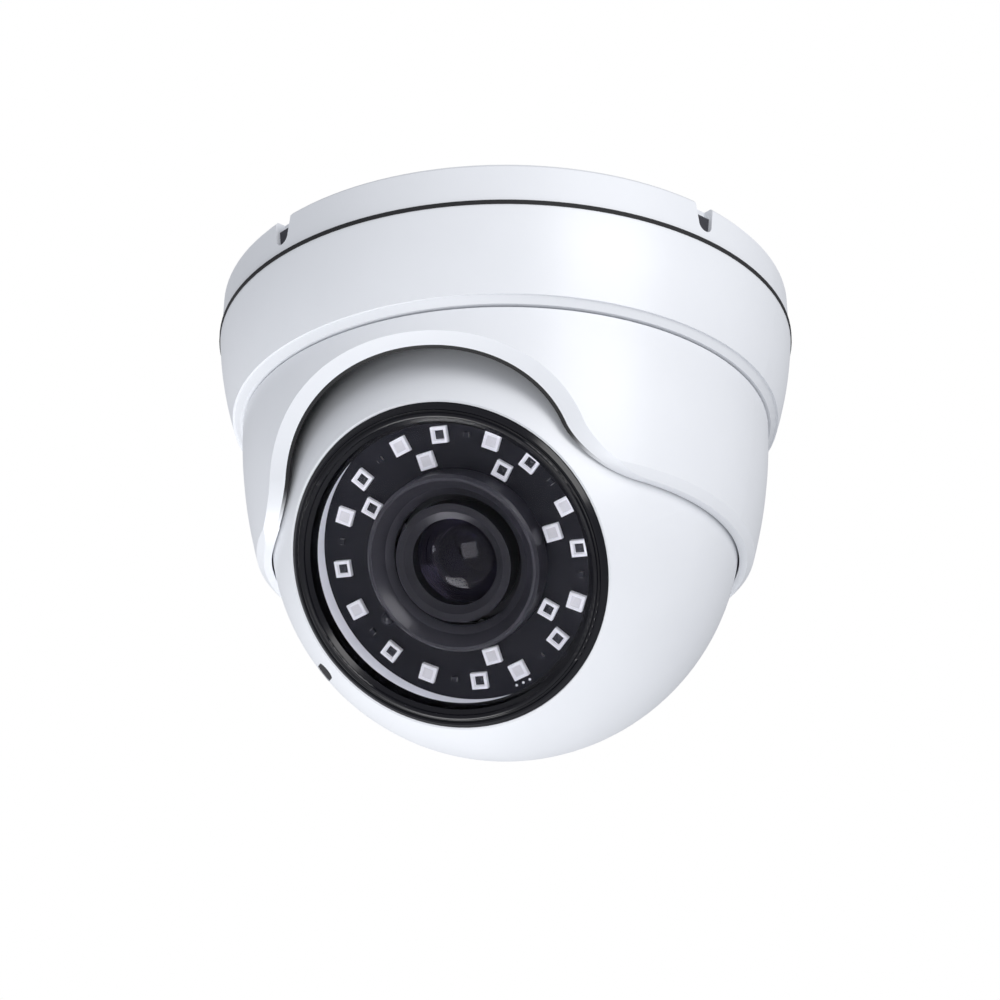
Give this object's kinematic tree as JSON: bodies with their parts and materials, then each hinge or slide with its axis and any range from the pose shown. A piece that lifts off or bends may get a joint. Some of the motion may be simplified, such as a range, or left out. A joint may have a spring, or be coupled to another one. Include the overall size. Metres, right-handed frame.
{
  "type": "turret security camera",
  "caption": "Ceiling turret camera: fixed round base, turning shell with a scooped front, and a ball with a ringed window that tilts and rolls.",
  "frame": {"origin": "middle of the base's flat ceiling face", "axes": "+Z into the ceiling, the camera hangs towards -Z and its lens looks towards -Y and down at rest, +X to its side"},
  "size_m": [0.1102, 0.1102, 0.0896],
  "materials": {
    "white_paint": "satin white powder coat",
    "black_rubber": "matt",
    "slip_plastic": "matt acetal",
    "steel": "plain",
    "sheet_steel": "zinc plated",
    "bezel_black": "gloss black",
    "window_glass": "tinted, polished",
    "bright_plastic": "bright, smooth",
    "circuit_black": "black solder mask",
    "emitter_white": "white ceramic-filled",
    "chip_dark": "dark",
    "hood_plastic": "matt black",
    "lens_metal": "black anodised",
    "ring_metal": "black anodised, knurled",
    "lens_glass": "coated",
    "circuit_green": "green solder mask",
    "chassis_alu": "plain",
    "brass_spacer": "plain",
    "socket_plastic": "ivory"
  },
  "bodies": {
    "base": {"base_plate": "white_paint", "notch_plug": "black_rubber", "cable_grommet": "black_rubber", "base_gasket": "black_rubber", "housing": "white_paint", "housing_screw": "steel", "pan_washer": "slip_plastic"},
    "turret": {"turret_shell": "white_paint", "tilt_bush": "slip_plastic", "pan_retainer": "sheet_steel", "retainer_screw": "steel"},
    "yoke": {"tilt_yoke": "sheet_steel", "tilt_pin": "steel", "roll_washer": "slip_plastic"},
    "ball": {"ball_shell": "white_paint", "ball_seal": "black_rubber", "back_cover": "white_paint", "cover_screw": "steel", "hub_nut": "steel", "adjuster_plug": "black_rubber", "bezel": "bezel_black", "bezel_seal": "black_rubber", "window": "window_glass", "window_mask": "bezel_black", "baffle_ring": "bright_plastic", "light_board": "circuit_black", "ir_emitter": "emitter_white", "emitter_chip": "chip_dark", "light_sensor": "chip_dark", "lens_hood": "hood_plastic", "lens_barrel": "lens_metal", "lens_front_ring": "lens_metal", "front_lens": "lens_glass", "rear_lens": "lens_glass", "lens_mount": "hood_plastic", "ir_filter": "lens_glass", "image_sensor": "chip_dark", "sensor_board": "circuit_green", "chassis": "chassis_alu", "chassis_screw": "steel", "standoff": "brass_spacer", "main_board": "circuit_green", "processor": "chip_dark", "board_socket": "socket_plastic", "heat_block": "chassis_alu"},
    "zoom": {"zoom_ring": "ring_metal"},
    "focus": {"focus_ring": "ring_metal"}
  },
  "joints": [
    {"name": "pan", "type": "hinge", "parent": "base", "child": "turret", "pos_m": [0, 0, -0.0265], "axis": [0, 0, 1], "range_deg": [-170, 170]},
    {"name": "tilt", "type": "hinge", "parent": "turret", "child": "yoke", "pos_m": [0, 0, -0.04567], "axis": [1, 0, 0], "range_deg": [-20, 53.5]},
    {"name": "roll", "type": "hinge", "parent": "yoke", "child": "ball", "pos_m": [0, 0, -0.04567], "axis": [0, -0.8039, -0.5948], "range_deg": [-170, 170]},
    {"name": "zoom_turn", "type": "hinge", "parent": "ball", "child": "zoom", "pos_m": [0, 0, -0.04567], "axis": [0, -0.8039, -0.5948], "range_deg": [-60, 60]},
    {"name": "focus_turn", "type": "hinge", "parent": "ball", "child": "focus", "pos_m": [0, 0, -0.04567], "axis": [0, -0.8039, -0.5948], "range_deg": [-60, 60]}
  ]
}
